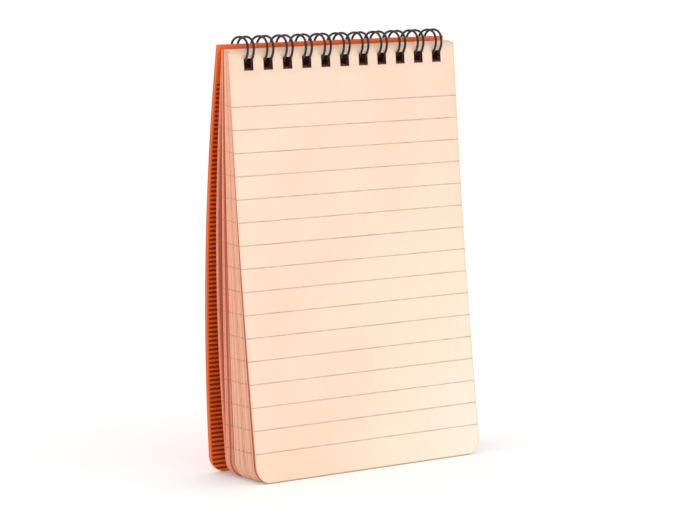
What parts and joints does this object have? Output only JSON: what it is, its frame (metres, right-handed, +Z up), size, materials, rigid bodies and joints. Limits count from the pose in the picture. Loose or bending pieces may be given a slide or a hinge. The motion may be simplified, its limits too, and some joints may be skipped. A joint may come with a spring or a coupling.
{
  "type": "pocket notebook",
  "caption": "Top-bound pocket notebook of ruled leaves on a twin loop wire, its covers folded behind, standing on its lower edges.",
  "frame": {"origin": "centre of the bounding box's foot, on the floor", "axes": "+Z up the standing notebook, +X to the right across the ruled page, +Y from the pages to the covers"},
  "size_m": [0.1016, 0.0322, 0.1583],
  "materials": {
    "wire": "dark bronze nylon coated steel wire",
    "paper": "uncoated ruled writing paper",
    "cover": "orange polypropylene sheet with a fine grain"
  },
  "bodies": {
    "wire": {"twin_loop_wire": "wire"},
    "top_leaf": {"leaf_01": "paper"},
    "leaves_2": {"leaf_02": "paper", "leaf_03": "paper", "leaf_04": "paper", "leaf_05": "paper", "leaf_06": "paper"},
    "leaves_3": {"leaf_07": "paper", "leaf_08": "paper", "leaf_09": "paper", "leaf_10": "paper"},
    "leaves_4": {"leaf_11": "paper", "leaf_12": "paper", "leaf_13": "paper", "leaf_14": "paper", "leaf_15": "paper"},
    "leaves_5": {"leaf_16": "paper", "leaf_17": "paper", "leaf_18": "paper", "leaf_19": "paper"},
    "leaves_6": {"leaf_20": "paper", "leaf_21": "paper", "leaf_22": "paper", "leaf_23": "paper", "leaf_24": "paper"},
    "leaves_7": {"leaf_25": "paper", "leaf_26": "paper", "leaf_27": "paper", "leaf_28": "paper"},
    "leaves_8": {"leaf_29": "paper", "leaf_30": "paper", "leaf_31": "paper", "leaf_32": "paper"},
    "last_leaves": {"leaf_33": "paper", "leaf_34": "paper", "leaf_35": "paper", "leaf_36": "paper"},
    "back_cover": {"back_cover": "cover"},
    "front_cover": {"front_cover": "cover"}
  },
  "joints": [
    {"name": "top_leaf_turn", "type": "hinge", "parent": "leaves_2", "child": "top_leaf", "pos_m": [0, 0.00381, 0.1525], "axis": [-1, 0, 0], "range_deg": [0, 180]},
    {"name": "leaves_2_turn", "type": "hinge", "parent": "leaves_3", "child": "leaves_2", "pos_m": [0, 0.00381, 0.1525], "axis": [-1, 0, 0], "range_deg": [0, 180]},
    {"name": "leaves_3_turn", "type": "hinge", "parent": "leaves_4", "child": "leaves_3", "pos_m": [0, 0.00381, 0.1525], "axis": [-1, 0, 0], "range_deg": [0, 180]},
    {"name": "leaves_4_turn", "type": "hinge", "parent": "leaves_5", "child": "leaves_4", "pos_m": [0, 0.00381, 0.1525], "axis": [-1, 0, 0], "range_deg": [0, 180]},
    {"name": "leaves_5_turn", "type": "hinge", "parent": "leaves_6", "child": "leaves_5", "pos_m": [0, 0.00381, 0.1525], "axis": [-1, 0, 0], "range_deg": [0, 180]},
    {"name": "leaves_6_turn", "type": "hinge", "parent": "leaves_7", "child": "leaves_6", "pos_m": [0, 0.00381, 0.1525], "axis": [-1, 0, 0], "range_deg": [0, 180]},
    {"name": "leaves_7_turn", "type": "hinge", "parent": "leaves_8", "child": "leaves_7", "pos_m": [0, 0.00381, 0.1525], "axis": [-1, 0, 0], "range_deg": [0, 180]},
    {"name": "leaves_8_turn", "type": "hinge", "parent": "last_leaves", "child": "leaves_8", "pos_m": [0, 0.00381, 0.1525], "axis": [-1, 0, 0], "range_deg": [0, 180]},
    {"name": "last_leaves_turn", "type": "hinge", "parent": "wire", "child": "last_leaves", "pos_m": [0, 0.00381, 0.1525], "axis": [-1, 0, 0], "range_deg": [0, 180]},
    {"name": "back_cover_turn", "type": "hinge", "parent": "wire", "child": "back_cover", "pos_m": [0, 0.00381, 0.1525], "axis": [1, 0, 0], "range_deg": [0, 180]},
    {"name": "front_cover_turn", "type": "hinge", "parent": "back_cover", "child": "front_cover", "pos_m": [0, 0.00381, 0.1525], "axis": [1, 0, 0], "range_deg": [0, 180]}
  ]
}
